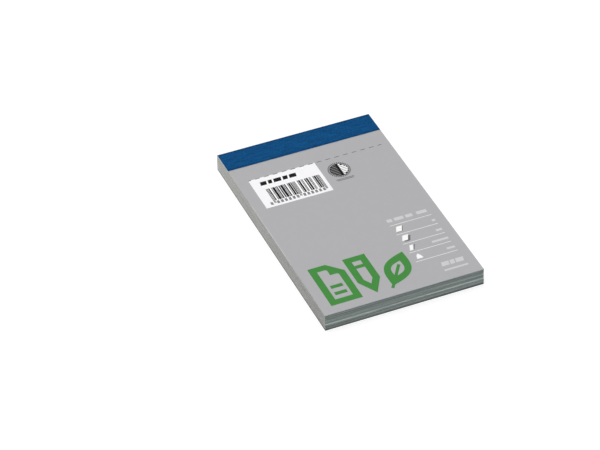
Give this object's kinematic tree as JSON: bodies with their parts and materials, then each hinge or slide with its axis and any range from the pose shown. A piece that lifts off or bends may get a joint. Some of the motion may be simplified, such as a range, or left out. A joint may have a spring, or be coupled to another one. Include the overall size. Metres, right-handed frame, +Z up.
{
  "type": "legal pad",
  "caption": "Pocket legal pad with a printed cover, a block of sheets and a grey back board, stapled at the head under a folded strip of cloth tape.",
  "frame": {"origin": "bottom centre of the whole pad, lying closed on its back board", "axes": "+Z up from the board to the cover, +Y toward the bound head, +X to the right when the cover is read"},
  "size_m": [0.074, 0.1176, 0.0082],
  "materials": {
    "cover_print": "matt printed cover paper, mid grey",
    "sheet_paper": "uncoated writing paper, trimmed edges",
    "grey_board": "raw grey board",
    "cloth_tape": "fine embossed blue cloth tape",
    "staple_wire": "flat galvanised stitching wire"
  },
  "bodies": {
    "root": {"front_cover": "cover_print", "sheet_block": "sheet_paper", "back_board": "grey_board", "binding_tape": "cloth_tape", "staple_left": "staple_wire", "staple_right": "staple_wire"}
  },
  "joints": []
}
